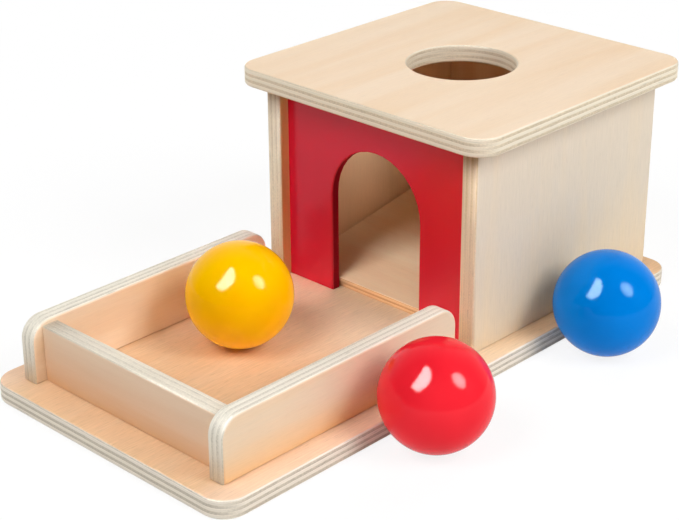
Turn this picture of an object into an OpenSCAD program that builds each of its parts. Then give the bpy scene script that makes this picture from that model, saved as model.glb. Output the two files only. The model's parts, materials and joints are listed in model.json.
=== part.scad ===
// Object permanence box: a plywood house with a drop hole in its lid and a ramp inside it,
// a walled tray in front of its arched doorway, and three loose balls.
// Millimetres. The origin is the middle of the base board's underside. +Z is up, the tray
// lies towards -Y and the house stands towards +Y.

/* [Base board] */
// Width of the base board
base_w = 154; // [140:1:200]
// Length of the base board
base_l = 308; // [280:1:400]
// Thickness of the base board
base_t = 9; // [6:0.5:15]
// Radius of the base board's corners
base_corner_r = 12; // [2:0.5:25]

/* [House] */
// From the base board's side edge to the side wall's outer face
house_side_margin = 11; // [4:0.5:15]
// From the base board's back edge to the rear wall's outer face
house_back_margin = 9; // [4:0.5:20]
// Length of the side walls
house_l = 134.5; // [110:0.5:150]
// Height of the walls, from the base board to the lid
wall_h = 100; // [85:1:140]
// Thickness of the walls
wall_t = 9; // [7:0.5:12]

/* [Arch panel] */
// From the side walls' front ends back to the panel's face
panel_recess = 5.5; // [2:0.5:12]
// Thickness of the panel
panel_t = 5; // [3:0.5:8]
// Depth of the groove in each side wall that holds the panel's edge
groove_depth = 3; // [1.5:0.5:5]
// Room on each side of a ball in the doorway
arch_clear = 3; // [1.5:0.5:10]
// Height of the doorway's straight sides above the base board
arch_spring_h = 51; // [35:1:55]

/* [Lid] */
// Thickness of the lid
lid_t = 9; // [6:0.5:15]
// From the side wall's outer face out to the lid's side edge
lid_side_overhang = 11; // [0:0.5:20]
// From the side walls' front ends out to the lid's front edge
lid_front_overhang = 10.5; // [0:0.5:20]
// From the rear wall's outer face out to the lid's back edge
lid_back_overhang = 9; // [0:0.5:20]
// Radius of the lid's corners
lid_corner_r = 12; // [2:0.5:25]
// Room on each side of a ball in the drop hole
hole_clear = 1.5; // [1:0.25:6]

/* [Ramp] */
// Slope of the ramp, in degrees
ramp_angle = 10; // [6:0.5:18]
// Thickness of the ramp board
ramp_t = 5; // [3:0.5:9]
// Thickness of the cleat under the ramp's high end
cleat_t = 10; // [6:0.5:20]

/* [Tray] */
// From the base board's side edge to the side rail's outer face
rail_side_margin = 11.5; // [4:0.5:20]
// From the base board's front edge to the side rails' front ends
rail_front_margin = 11; // [4:0.5:20]
// From the side rails' back ends to the side walls' front ends
rail_house_gap = 11.5; // [1:0.5:20]
// Height of the side rails above the base board
rail_h = 29.5; // [25:0.5:45]
// Thickness of the side rails
rail_t = 9; // [7:0.5:12]
// Radius of the side rails' upper corners
rail_corner_r = 10; // [2:0.5:20]
// From the side rails' front ends back to the front rail's face
front_rail_recess = 5.5; // [0:0.5:15]
// Height of the front rail above the base board
front_rail_h = 27; // [22:0.5:40]
// Thickness of the front rail
front_rail_t = 9; // [7:0.5:12]

/* [Balls] */
// Diameter of each ball
ball_d = 50; // [46:1:55]
// From the left rail's inner face to the ball in the tray
tray_ball_side_gap = 12.5; // [1:0.5:30]
// From the front rail's inner face to the ball in the tray
tray_ball_front_gap = 49.5; // [1:0.5:60]
// From the base board's side edge to the balls on the table
table_ball_gap = 0.8; // [0.4:0.1:20]
// From the base board's front edge to the middle of the red ball
red_ball_from_front = 103; // [30:1:120]
// From the base board's back edge to the middle of the blue ball
blue_ball_from_back = 85; // [30:1:120]

/* [Fasteners] */
// Diameter of the dowels
dowel_d = 5; // [3:0.5:6]
// Length of the dowels
dowel_l = 20; // [14:0.5:30]
// Wood left over the end of a dowel hole in a board's face
dowel_cover = 3; // [1.5:0.5:4]
// Diameter of the screws' shanks
screw_d = 3.5; // [2.5:0.5:4]
// Length of the screws
screw_l = 25; // [18:0.5:30]
// Diameter of the screws' heads
screw_head_d = 7; // [5:0.5:8]
// Height of the screws' countersunk heads
screw_head_h = 2.4; // [1.5:0.1:4]
// From a board's end to its nearest screw or dowel
end_distance = 25; // [15:1:40]

/* [Hidden] */
$fn = 96;

// Clearances, and the length by which a cut runs past the face that it opens
panel_clear = 0.15;
ramp_clear = 0.3;
seat_clear = 0.1;
ball_lift = 0.3;
dowel_clear = 0.1;
dowel_end_gap = 0.5;
screw_clear = 0.1;
screw_sink = 0.3;
overrun = 1;

// Point of the screws, and the cross recess in their heads
screw_point_l = 4;
recess_l = 3.8;
recess_w = 1;
recess_depth = 1.3;

// House: its faces, seen from above
house_w = base_w - 2 * house_side_margin;
house_back = base_l / 2 - house_back_margin;
house_front = house_back - house_l;
wall_mid_x = (house_w - wall_t) / 2;
house_inner_w = house_w - 2 * wall_t;
rear_face = house_back - wall_t;
rear_mid = house_back - wall_t / 2;

// Lid: its underside, size, middle and hole
lid_z = base_t + wall_h;
lid_w = house_w + 2 * lid_side_overhang;
lid_l = house_l + lid_front_overhang + lid_back_overhang;
lid_mid_y = (house_front - lid_front_overhang + house_back + lid_back_overhang) / 2;
hole_d = ball_d + 2 * hole_clear;

// Arch panel: its faces, width and doorway
panel_front = house_front + panel_recess;
panel_back = panel_front + panel_t;
panel_w = house_inner_w + 2 * (groove_depth - panel_clear);
arch_w = ball_d + 2 * arch_clear;

// Ramp: its lower front edge, length and width
ramp_toe = panel_back + ramp_clear + ramp_t * sin(ramp_angle);
ramp_end = rear_face - ramp_clear;
ramp_l = (ramp_end - ramp_toe) / cos(ramp_angle);
ramp_w = house_inner_w - 2 * ramp_clear;

// Tray: the rails' faces
rail_front = rail_front_margin - base_l / 2;
rail_back = house_front - rail_house_gap;
rail_l = rail_back - rail_front;
rail_mid_x = base_w / 2 - rail_side_margin - rail_t / 2;
tray_w = 2 * rail_mid_x - rail_t;
front_rail_face = rail_front + front_rail_recess;
front_rail_mid = front_rail_face + front_rail_t / 2;
front_rail_inner = front_rail_face + front_rail_t;

// Balls: their middles
ball_r = ball_d / 2;
tray_ball = [
    tray_ball_side_gap + ball_r - tray_w / 2,
    front_rail_inner + tray_ball_front_gap + ball_r,
    base_t + ball_r + ball_lift
];
table_ball_x = base_w / 2
    + sqrt(pow(ball_r + table_ball_gap, 2) - pow(max(0, ball_r - base_t), 2));
red_ball_y = red_ball_from_front - base_l / 2;
blue_ball_y = base_l / 2 - blue_ball_from_back;

// Places of the fasteners along their joints
wall_ends = [house_front + end_distance, rear_face - end_distance];
rail_ends = [rail_front + end_distance, rail_back - end_distance];
rear_ends = [end_distance - house_inner_w / 2, house_inner_w / 2 - end_distance];
front_ends = [end_distance - tray_w / 2, tray_w / 2 - end_distance];
wall_dowel_heights = [base_t + end_distance, lid_z - end_distance];

board_colour = "#EFD3AE";
dowel_colour = "#D9B98C";
panel_colour = "#C92029";
screw_colour = "#B8BABD";
yellow_colour = "#FFB400";
red_colour = "#F02B33";
blue_colour = "#0078D2";

// A flat rectangle with round corners, about its middle
module round_rectangle(w, l, r) {
    square([w - 2 * r, l], center = true);
    square([w, l - 2 * r], center = true);
    for (x = [-1, 1], y = [-1, 1])
        translate([x * (w / 2 - r), y * (l / 2 - r)]) circle(r);
}

// A standing outline in the YZ plane, made t thick about the plane x
module across(x, t) {
    translate([x - t / 2, 0, 0]) rotate([90, 0, 90]) linear_extrude(t) children();
}

// A standing outline in the XZ plane, made t thick from its front face at y
module behind(y, t) {
    translate([0, y + t, 0]) rotate([90, 0, 0]) linear_extrude(t) children();
}

// Places along the joints. Children point up the joint from its meeting face, so that +Z
// runs into the end of the board that stands on the other one.
module at_wall_feet() {
    for (x = [-wall_mid_x, wall_mid_x], y = wall_ends) translate([x, y, base_t]) children();
    for (x = rear_ends) translate([x, rear_mid, base_t]) children();
}

module at_wall_tops() {
    for (x = [-wall_mid_x, wall_mid_x], y = wall_ends)
        translate([x, y, lid_z]) mirror([0, 0, 1]) children();
    for (x = rear_ends) translate([x, rear_mid, lid_z]) mirror([0, 0, 1]) children();
}

module at_rear_corners() {
    for (side = [0, 1], z = wall_dowel_heights) mirror([side, 0, 0])
        translate([house_inner_w / 2, rear_mid, z]) rotate([0, -90, 0]) children();
}

module at_rail_feet() {
    for (x = [-rail_mid_x, rail_mid_x], y = rail_ends) translate([x, y, base_t]) children();
    for (x = front_ends) translate([x, front_rail_mid, base_t]) children();
}

module at_front_corners() {
    for (side = [0, 1]) mirror([side, 0, 0])
        translate([tray_w / 2, front_rail_mid, base_t + front_rail_h / 2])
            rotate([0, -90, 0]) children();
}

// A dowel across a joint whose face board is t thick, and the hole that it sits in
module dowel(t) {
    translate([0, 0, dowel_cover + dowel_end_gap - t]) cylinder(d = dowel_d, h = dowel_l);
}

module dowel_hole(t) {
    translate([0, 0, dowel_cover - t])
        cylinder(d = dowel_d + 2 * dowel_clear, h = dowel_l + 2 * dowel_end_gap);
}

// Half the outline of a countersunk screw, its head at 0, grown by a clearance
function screw_outline(grow) = [
    [0, 0],
    [screw_head_d / 2 + grow, 0],
    [screw_d / 2 + grow, screw_head_h],
    [screw_d / 2 + grow, screw_l - screw_point_l],
    [0, screw_l + grow]
];

// A screw driven up through the base board, and the hole that it sits in
module screw() {
    translate([0, 0, screw_sink - base_t]) difference() {
        rotate_extrude() polygon(screw_outline(0));
        for (turn = [0, 90]) rotate(turn)
            cube([recess_l, recess_w, 2 * recess_depth], center = true);
    }
}

module screw_hole() {
    translate([0, 0, screw_sink - base_t]) {
        rotate_extrude() polygon(screw_outline(screw_clear));
        translate([0, 0, -screw_sink - overrun])
            cylinder(d = screw_head_d + 2 * screw_clear, h = screw_sink + overrun);
    }
}

// A side wall on the right, with the groove for the arch panel
module side_wall() {
    difference() {
        translate([house_inner_w / 2, house_front, base_t]) cube([wall_t, house_l, wall_h]);
        translate([0, panel_front - panel_clear, base_t - overrun])
            cube([
                house_inner_w / 2 + groove_depth,
                panel_t + 2 * panel_clear,
                wall_h + 2 * overrun
            ]);
        at_wall_feet() screw_hole();
        at_wall_tops() dowel_hole(lid_t);
        at_rear_corners() dowel_hole(wall_t);
    }
}

// A side rail on the right, with round upper corners
module side_rail() {
    difference() {
        across(rail_mid_x, rail_t) translate([rail_front, base_t]) {
            square([rail_l, rail_h - rail_corner_r]);
            translate([rail_corner_r, 0]) square([rail_l - 2 * rail_corner_r, rail_h]);
            for (y = [rail_corner_r, rail_l - rail_corner_r])
                translate([y, rail_h - rail_corner_r]) circle(rail_corner_r);
        }
        at_rail_feet() screw_hole();
        at_front_corners() dowel_hole(rail_t);
    }
}

module ball(place, colour) {
    color(colour) translate(place) sphere(d = ball_d);
}

module base_board() {
    color(board_colour) difference() {
        linear_extrude(base_t) round_rectangle(base_w, base_l, base_corner_r);
        at_wall_feet() screw_hole();
        at_rail_feet() screw_hole();
    }
}

module tray_rail_left() {
    color(board_colour) mirror([1, 0, 0]) side_rail();
}

module tray_rail_right() {
    color(board_colour) side_rail();
}

module tray_rail_front() {
    color(board_colour) difference() {
        translate([-tray_w / 2, front_rail_face, base_t])
            cube([tray_w, front_rail_t, front_rail_h]);
        at_rail_feet() screw_hole();
        at_front_corners() dowel_hole(rail_t);
    }
}

module house_wall_left() {
    color(board_colour) mirror([1, 0, 0]) side_wall();
}

module house_wall_right() {
    color(board_colour) side_wall();
}

module house_wall_rear() {
    color(board_colour) difference() {
        translate([-house_inner_w / 2, rear_face, base_t])
            cube([house_inner_w, wall_t, wall_h]);
        at_wall_feet() screw_hole();
        at_wall_tops() dowel_hole(lid_t);
        at_rear_corners() dowel_hole(wall_t);
    }
}

module arch_panel() {
    color(panel_colour) behind(panel_front, panel_t) translate([0, base_t]) difference() {
        translate([-panel_w / 2, 0]) square([panel_w, wall_h - seat_clear]);
        translate([-arch_w / 2, -overrun]) square([arch_w, arch_spring_h + overrun]);
        translate([0, arch_spring_h]) circle(d = arch_w);
    }
}

module ramp_board() {
    color(board_colour) translate([-ramp_w / 2, ramp_toe, base_t + seat_clear])
        rotate([ramp_angle, 0, 0]) cube([ramp_w, ramp_l, ramp_t]);
}

module ramp_cleat() {
    color(board_colour) across(0, ramp_w) polygon([
        [rear_face - cleat_t, base_t],
        [rear_face, base_t],
        [rear_face, base_t + (rear_face - ramp_toe) * tan(ramp_angle)],
        [rear_face - cleat_t, base_t + (rear_face - cleat_t - ramp_toe) * tan(ramp_angle)]
    ]);
}

module lid_board() {
    color(board_colour) difference() {
        translate([0, lid_mid_y, lid_z]) linear_extrude(lid_t)
            round_rectangle(lid_w, lid_l, lid_corner_r);
        translate([0, lid_mid_y, lid_z - overrun])
            cylinder(d = hole_d, h = lid_t + 2 * overrun);
        at_wall_tops() dowel_hole(lid_t);
    }
}

module lid_dowels() {
    color(dowel_colour) at_wall_tops() dowel(lid_t);
}

module wall_dowels() {
    color(dowel_colour) at_rear_corners() dowel(wall_t);
}

module rail_dowels() {
    color(dowel_colour) at_front_corners() dowel(rail_t);
}

module wall_screws() {
    color(screw_colour) at_wall_feet() screw();
}

module rail_screws() {
    color(screw_colour) at_rail_feet() screw();
}

module yellow_ball() {
    ball(tray_ball, yellow_colour);
}

module red_ball() {
    ball([table_ball_x, red_ball_y, ball_r], red_colour);
}

module blue_ball() {
    ball([table_ball_x, blue_ball_y, ball_r], blue_colour);
}

base_board();
tray_rail_left();
tray_rail_right();
tray_rail_front();
house_wall_left();
house_wall_right();
house_wall_rear();
arch_panel();
ramp_board();
ramp_cleat();
lid_board();
lid_dowels();
wall_dowels();
rail_dowels();
wall_screws();
rail_screws();
yellow_ball();
red_ball();
blue_ball();
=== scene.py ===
# %% [markdown]
# # A wooden object permanence box
# A child drops a ball through the hole in the lid, the ball rolls down a ramp inside the house and
# comes out of the arched doorway into the tray. The toy is sawn from birch plywood with eased
# edges, only the doorway panel is lacquered red, and three wooden balls are painted in gloss
# colours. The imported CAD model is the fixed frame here: it says where each board is, and this
# script gives every board its rounded edges, its plies and its finish.

import json
import math

import bpy
import numpy as np
from mathutils import Matrix, Vector


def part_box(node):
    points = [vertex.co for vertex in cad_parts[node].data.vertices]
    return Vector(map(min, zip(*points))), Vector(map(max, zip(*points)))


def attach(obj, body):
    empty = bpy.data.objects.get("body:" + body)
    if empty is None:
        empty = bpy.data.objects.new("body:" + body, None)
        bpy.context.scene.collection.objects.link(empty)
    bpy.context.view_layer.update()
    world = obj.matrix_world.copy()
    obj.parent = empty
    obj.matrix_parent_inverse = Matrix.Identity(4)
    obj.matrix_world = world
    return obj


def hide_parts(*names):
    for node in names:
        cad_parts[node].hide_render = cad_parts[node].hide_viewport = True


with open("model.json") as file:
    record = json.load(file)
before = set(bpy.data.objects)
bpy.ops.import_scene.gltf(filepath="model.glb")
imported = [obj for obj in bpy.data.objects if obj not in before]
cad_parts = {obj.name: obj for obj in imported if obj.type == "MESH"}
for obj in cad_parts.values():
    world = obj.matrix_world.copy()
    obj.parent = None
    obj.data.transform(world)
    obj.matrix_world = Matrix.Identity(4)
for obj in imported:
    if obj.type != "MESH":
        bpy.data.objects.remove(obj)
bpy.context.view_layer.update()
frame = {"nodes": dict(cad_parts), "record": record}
MM = 0.001

# %% [markdown]
# ## Camera
# The picture is taken from the front right, a little above the toy, with a long lens. The angles
# below come from fitting the straight edges and the round ball outlines of the photograph. A camera
# could be turned with a Track To constraint, but three axes worked out from azimuth, elevation and
# roll need no constraint: back points from the toy to the lens, right lies level, and up is
# back x right.

# %% Camera
IMAGE_WIDTH = 679
FOCAL_PIXELS = 1742.3
SENSOR_MM = 36.0
azimuth, elevation, roll = np.radians((44.03, 24.77, -0.40))
aim_point = np.array((-3.65, -4.24, 39.72)) * MM
camera_distance = 815.8 * MM

back = np.array((
    np.sin(azimuth) * np.cos(elevation), -np.cos(azimuth) * np.cos(elevation), np.sin(elevation)))
level = np.array((np.cos(azimuth), np.sin(azimuth), 0.0))
above = np.cross(back, level)
right = np.cos(roll) * level + np.sin(roll) * above
up = np.cos(roll) * above - np.sin(roll) * level

camera_data = bpy.data.cameras.new("camera")
camera_data.sensor_width = SENSOR_MM
camera_data.lens = FOCAL_PIXELS / IMAGE_WIDTH * SENSOR_MM
camera_data.clip_start = 10 * MM
camera = bpy.data.objects.new("camera", camera_data)
bpy.context.collection.objects.link(camera)
turn = np.eye(4)
turn[:3] = np.stack((right, up, back, aim_point + camera_distance * back), axis=1)
camera.matrix_world = Matrix(turn.tolist())
bpy.context.scene.camera = camera
print("lens", round(camera_data.lens, 2), "mm, camera at", np.round(turn[:3, 3], 4))

# %% [markdown]
# ## Colours and nodes
# Colours are written as sRGB hex, as a paint chart gives them, while shaders count in linear light,
# so one function turns one into the other. One small function adds every shader node with its
# settings and links, which keeps each material below readable as a list of layers. Two more only
# work out numbers: the scale of a pattern from its real size, and the four ends of a range.

# %% Colour and node helpers
scene = bpy.context.scene
scene.view_settings.view_transform = "Standard"


def linear(code):
    """sRGB hex to linear RGBA.

    A channel v becomes v / 12.92 up to 0.04045, and ((v + 0.055) / 1.055) to the power 2.4 above.
    """
    v = np.array([int(code[i:i + 2], 16) for i in (1, 3, 5)]) / 255
    rgb = np.where(v <= 0.04045, v / 12.92, ((v + 0.055) / 1.055) ** 2.4)
    return (*rgb.tolist(), 1.0)


def add(tree, kind, inputs=None, **settings):
    """Adds one node with its settings. Inputs give sockets a value, or a (node, output) link."""
    node = tree.nodes.new("ShaderNode" + kind)
    for name, value in settings.items():
        setattr(node, name, value)
    for socket, value in (inputs or {}).items():
        if isinstance(value, tuple) and isinstance(value[0], bpy.types.Node):
            tree.links.new(value[0].outputs[value[1]], node.inputs[socket])
        else:
            node.inputs[socket].default_value = value
    return node


def new_material(name):
    """An empty node material: its tree and its output node, ready for layers."""
    material = bpy.data.materials.new(name)
    material.use_nodes = True
    tree = material.node_tree
    tree.nodes.clear()
    return material, tree, tree.nodes.new("ShaderNodeOutputMaterial")


def per_size(*sizes_mm):
    """The scale of a pattern from its sizes in mm: one over each size, or 0 where it is even."""
    return tuple(1 / (size * MM) if size else 0.0 for size in sizes_mm)


def span(source=(0.0, 1.0), shown=(0.0, 1.0)):
    """The ends of a Map Range: source[0] becomes shown[0], and source[1] becomes shown[1]."""
    return {
        "From Min": source[0], "From Max": source[1], "To Min": shown[0], "To Max": shown[1]}


print("view transform:", scene.view_settings.view_transform)

# %% [markdown]
# ## Studio
# The toy stands on a white sweep that is lit until it is pure white, with soft boxes and white
# cards all round it. How bright each is comes from the shading of the three balls: a ball turns one
# even colour to every side, so it shows from where the light comes. One big dome could light the
# toy too, but then the shade under the lid and on the far side of each board would be lost.

# %% Softboxes
STAND_OFF = 1.9
BOX_SIZE = 0.9
studio_centre = np.array((0.0, 0.0, 0.04))


def softbox(name, azimuth, elevation, brightness):
    """A lit square that faces the toy, its azimuth in degrees from the front towards the right.

    Its power is 4 pi distance^2 times the brightness that a white card facing it shows.
    """
    a, e = np.radians((azimuth, elevation))
    away = Vector((np.sin(a) * np.cos(e), -np.cos(a) * np.cos(e), np.sin(e)))
    lamp = bpy.data.lights.new(name, "AREA")
    lamp.size = BOX_SIZE
    lamp.energy = 4 * math.pi * STAND_OFF ** 2 * brightness
    box = bpy.data.objects.new(name, lamp)
    bpy.context.collection.objects.link(box)
    box.location = Vector(studio_centre) + away * STAND_OFF
    box.rotation_euler = away.to_track_quat("Z", "Y").to_euler()
    box.visible_camera = False
    box.visible_glossy = False
    return box


softboxes = (
    softbox("front_softbox", -3, 48, 0.42),
    softbox("right_softbox", 100, 41, 0.50),
    softbox("right_low_card", 115, 15, 0.12),
    softbox("back_card", 180, 40, 0.18),
    softbox("left_back_card", -135, 15, 0.13),
    softbox("left_card", -90, 15, 0.31),
    softbox("camera_card", 44, 48, 0.04))
print("softboxes:", [box.name for box in softboxes])

# %% [markdown]
# ## Highlights
# Two lamps show in the gloss of the balls: an umbrella in front of the tray, lit off its middle so
# that it shows as a crescent, and a smaller round one to the right. Following the highlights back
# from the three balls gives the place and outline of each. The soft boxes could show there
# themselves, but a sheet that only the gloss sees can have the outline of the real lamp, while the
# light on the wood stays as it is.

# %% Lit shapes that the gloss shows
GLOW_ROWS = 13


def lit_shape(name, place, inner, outer, radiance, softness):
    """A glowing sheet between two curves, facing the toy: point = inner (1 - w) + outer w.

    The curves are in metres, level and upright across the lamp. The glow is sin(pi s) sin(pi w) to
    the power softness, so it is brightest in the middle.
    """
    away = (place - studio_centre) / np.linalg.norm(place - studio_centre)
    across = np.cross((0.0, 0.0, 1.0), away)
    across = across / np.linalg.norm(across)
    rise = np.cross(away, across)
    columns = len(inner)
    w = np.linspace(0, 1, GLOW_ROWS)[:, None, None]
    flat = inner * (1 - w) + outer * w
    points = place + (flat @ np.stack((across, rise))).reshape(-1, 3)
    index = np.arange(GLOW_ROWS * columns).reshape(GLOW_ROWS, columns)
    quads = np.stack(
        (index[:-1, :-1], index[:-1, 1:], index[1:, 1:], index[1:, :-1]), axis=-1).reshape(-1, 4)
    mesh = bpy.data.meshes.new(name)
    mesh.from_pydata(points.tolist(), [], quads.tolist())
    s = np.linspace(0, 1, columns)[None]
    glow = radiance * (np.sin(np.pi * s) * np.sin(np.pi * w[..., 0])) ** softness
    mesh.attributes.new("glow", "FLOAT", "POINT").data.foreach_set("value", glow.ravel())
    shape = bpy.data.objects.new(name, mesh)
    bpy.context.collection.objects.link(shape)
    shape.visible_camera = False
    shape.visible_diffuse = False
    shape.visible_shadow = False
    cloth, t, out = new_material(name + "_cloth")
    glow_here = add(t, "Attribute", attribute_name="glow")
    light = add(t, "Emission", {"Color": (1.0, 1.0, 1.0, 1.0), "Strength": (glow_here, "Fac")})
    t.links.new(light.outputs[0], out.inputs["Surface"])
    mesh.materials.append(cloth)
    return shape


CURVE_POINTS = 25
FRONT_LAMP = np.array((0.04, -0.70, 0.85))
RIGHT_LAMP = np.array((0.75, 0.14, 0.68))
UMBRELLA_RADIUS = 0.535
UMBRELLA_SHIFT = (-0.245, 0.01)
UMBRELLA_DEGREES = (75, -65)
UMBRELLA_GLOW, UMBRELLA_SOFTNESS = 56.0, 0.09
LAMP_RADII = (0.23, 0.27)
LAMP_GLOW, LAMP_SOFTNESS = 36.0, 0.8

turned_by = np.radians(np.linspace(*UMBRELLA_DEGREES, CURVE_POINTS))
umbrella_rim = np.stack((np.cos(turned_by), np.sin(turned_by)), axis=1) * UMBRELLA_RADIUS
umbrella_rim = umbrella_rim + UMBRELLA_SHIFT
# The inner side of the crescent is a curve through three points: (1 - q)^2, 2 q (1 - q) and q^2.
hollow = np.array(((-0.23, 0.52), (-0.11, -0.02), (-0.345, -0.37)))
q = np.linspace(0, 1, CURVE_POINTS)[:, None]
umbrella_hollow = (1 - q) ** 2 * hollow[0] + 2 * q * (1 - q) * hollow[1] + q ** 2 * hollow[2]
umbrella = lit_shape(
    "front_umbrella", FRONT_LAMP, umbrella_hollow, umbrella_rim, UMBRELLA_GLOW, UMBRELLA_SOFTNESS)
half_turn = np.linspace(np.pi / 2, -np.pi / 2, CURVE_POINTS)
lamp_rim = np.stack((np.cos(half_turn), np.sin(half_turn)), axis=1) * LAMP_RADII
round_lamp = lit_shape(
    "right_round_lamp", RIGHT_LAMP, lamp_rim * (-1, 1), lamp_rim, LAMP_GLOW, LAMP_SOFTNESS)
print("lit shapes:", umbrella.name, round_lamp.name)

# %% [markdown]
# ## White sweep
# The toy stands on a sheet of white paper that sweeps up behind it. A strong lamp on the paper
# could turn it pure white, but it would flood the wood with bounced light. So the paper and the
# backdrop glow white only for the camera, in reflections and through glass, and are plain paper for
# all other light. A share of the plain paper stays close to the toy, so that the floor keeps its
# shadow. In reflections the paper is dimmer close to the toy, which shades it, and far away.

# %% Backdrop
SWEEP_SIDE = (-0.69, 0.72, 0.0)
SWEEP_SPAN = (0.2, 0.9)
world = bpy.data.worlds.new("white_studio")
world.use_nodes = True
world.node_tree.nodes.clear()
scene.world = world
sky = world.node_tree
rays = add(sky, "LightPath")
direction = add(sky, "TexCoord")
towards = add(
    sky, "VectorMath", {0: (direction, "Generated"), 1: SWEEP_SIDE}, operation="DOT_PRODUCT")
behind = add(sky, "MapRange", {"Value": (towards, "Value"), **span(SWEEP_SPAN)})
mirrored = add(sky, "Math", {0: (behind, 0), 1: (rays, "Is Glossy Ray")}, operation="MULTIPLY")
seen = add(sky, "Math", {0: (rays, "Is Camera Ray"), 1: (mirrored, 0)}, operation="MAXIMUM")
shown = add(sky, "Math", {0: (seen, 0), 1: (rays, "Is Transmission Ray")}, operation="MAXIMUM")
backdrop = add(sky, "Background", {"Color": (1.0, 1.0, 1.0, 1.0), "Strength": (shown, 0)})
add(sky, "OutputWorld", {"Surface": (backdrop, 0)})
print("backdrop:", world.name)

# %% Floor
FLOOR_HALF = 2.5
FLOOR_DROP = 0.1 * MM
# Distances from the middle of the toy in metres, and the share or brightness at each end.
WHITE_SPAN, WHITE_SHARES = (0.25, 0.55), (0.85, 1.0)
FADE_SPAN, FADE_LEVELS = (0.3, 1.5), (1.0, 0.3)
SHADE_SPAN, SHADE_LEVELS = (0.16, 0.34), (0.6, 1.0)
UNIT_SQUARE = np.array(((-1, -1), (1, -1), (1, 1), (-1, 1)))

floor_mesh = bpy.data.meshes.new("floor")
floor_corners = np.pad(UNIT_SQUARE * FLOOR_HALF, ((0, 0), (0, 1))) - (0, 0, FLOOR_DROP)
floor_mesh.from_pydata(floor_corners.tolist(), [], [(0, 1, 2, 3)])
floor = bpy.data.objects.new("floor", floor_mesh)
bpy.context.collection.objects.link(floor)

paper, t, paper_out = new_material("white_paper_sweep")
rays = add(t, "LightPath")
seen = add(
    t, "Math", {0: (rays, "Is Camera Ray"), 1: (rays, "Is Glossy Ray")}, operation="MAXIMUM")
shown = add(t, "Math", {0: (seen, 0), 1: (rays, "Is Transmission Ray")}, operation="MAXIMUM")
on_floor = add(t, "TexCoord")
off_centre = add(t, "VectorMath", {0: (on_floor, "Object")}, operation="LENGTH")
distance = (off_centre, "Value")
whiter = add(t, "MapRange", {"Value": distance, **span(WHITE_SPAN, WHITE_SHARES)})
share = add(t, "Math", {0: (shown, 0), 1: (whiter, 0)}, operation="MULTIPLY")
paper_tint = add(
    t, "Mix", {0: (shown, 0), 6: linear("#F4F4F2"), 7: linear("#FFFFFF")}, data_type="RGBA")
sheet = add(t, "BsdfDiffuse", {"Color": (paper_tint, 2)})
fading = add(t, "MapRange", {"Value": distance, **span(FADE_SPAN, FADE_LEVELS)})
shaded = add(t, "MapRange", {"Value": distance, **span(SHADE_SPAN, SHADE_LEVELS)})
in_gloss = add(t, "Math", {0: (fading, 0), 1: (shaded, 0)}, operation="MULTIPLY")
glow = add(
    t, "Mix", {0: (rays, "Is Glossy Ray"), 2: 1.0, 3: (in_gloss, 0)}, data_type="FLOAT")
lit = add(t, "Emission", {"Color": (1.0, 1.0, 1.0, 1.0), "Strength": (glow, 0)})
both = add(t, "MixShader", {0: (share, 0), 1: (sheet, 0), 2: (lit, 0)})
t.links.new(both.outputs[0], paper_out.inputs["Surface"])
floor_mesh.materials.append(paper)
print("floor", 2 * FLOOR_HALF, "m square")

# %% [markdown]
# ## Birch plywood
# Plywood is an odd number of thin birch sheets, glued with the grain of each across its neighbour
# and lacquered matt. Its faces show long pale streaks with a little orange and short flecks. Its
# edges show the sheets: those that run along the edge are cream, and those cut across the fibres
# are grey-tan. A board could get one material for the face and another for the edge, but a solid
# pattern is simpler: every vertex stores how far it lies along the grain, across it and down
# through the sheets, so faces, rounded edges and sawn holes all agree.

# %% Faces of the plywood
# Sizes in mm along and across the grain. Real fibres and pores are a few hundredths of a millimetre
# wide, too fine for the render, so they are drawn as coarse as they need to be to show.
FIGURE_MM = (170.0, 15.0)
FIBRE_MM = (14.0, 0.7)
PORE_MM = (5.0, 0.6)
# The part of each noise that counts, and how much darker or lighter it makes the wood.
FIGURE_SPAN = (0.34, 0.7)
FIBRE_SPAN, FIBRE_DEPTH = (0.3, 0.7), 0.07
PORE_SPAN, PORE_DEPTH = (0.6, 0.74), 0.1
# A drift goes from more than the streaks' heartwood to less than their sapwood: partly a change of
# tone, partly painted light and shade.
DRIFT_SHARES = (0.75, -0.25)
STREAK_WEIGHT = 0.5
# Where a pale strip of painted light begins and is full beside the middle, and where it ends and is
# full.
STRIP_MM = (58.0, 70.0)
STRIP_END_MM = (25.0, -25.0)


def drifted(t, streak, drift):
    """The share of a sheet's second tint, its heartwood, with or without a drift to sapwood.

    A drift is (axis, start, end): going out from the frame's middle along that axis, from start to
    end in mm, the share falls from one drift share to the other, and half of the streaks is added.
    The drift is partly a change of tone and partly painted light: warmer near a foot for light
    bounced off the base, and paler or darker where shade is lifted or painted.
    """
    if drift is None:
        return streak
    axis, start, end = drift
    spot = add(t, "TexCoord")
    spot_axes = add(t, "SeparateXYZ", {0: (spot, "Object")})
    out_by = add(t, "Math", {0: (spot_axes, axis)}, operation="ABSOLUTE")
    # Partly painted light: this share warms a face towards its foot, or lifts or deepens its shade,
    # besides changing its tone.
    drift_share = add(t, "MapRange", {
        "Value": (out_by, 0), **span((start * MM, end * MM), DRIFT_SHARES)})
    return add(
        t, "Math", {0: (streak, 0), 1: STREAK_WEIGHT, 2: (drift_share, 0)},
        operation="MULTIPLY_ADD", use_clamp=True)


def painted_light_strip(t):
    """How much of a lying board's face gets painted light: along both long sides, in its front
    half.
    """
    spot = add(t, "TexCoord")
    spot_axes = add(t, "SeparateXYZ", {0: (spot, "Object")})
    aside = add(t, "Math", {0: (spot_axes, 0)}, operation="ABSOLUTE")
    strip_ends, front_ends = ((a * MM, b * MM) for a, b in (STRIP_MM, STRIP_END_MM))
    strip = add(t, "MapRange", {"Value": (aside, 0), **span(strip_ends)})
    front = add(t, "MapRange", {"Value": (spot_axes, 1), **span(front_ends)})
    return add(t, "Math", {0: (strip, 0), 1: (front, 0)}, operation="MULTIPLY")


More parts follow.
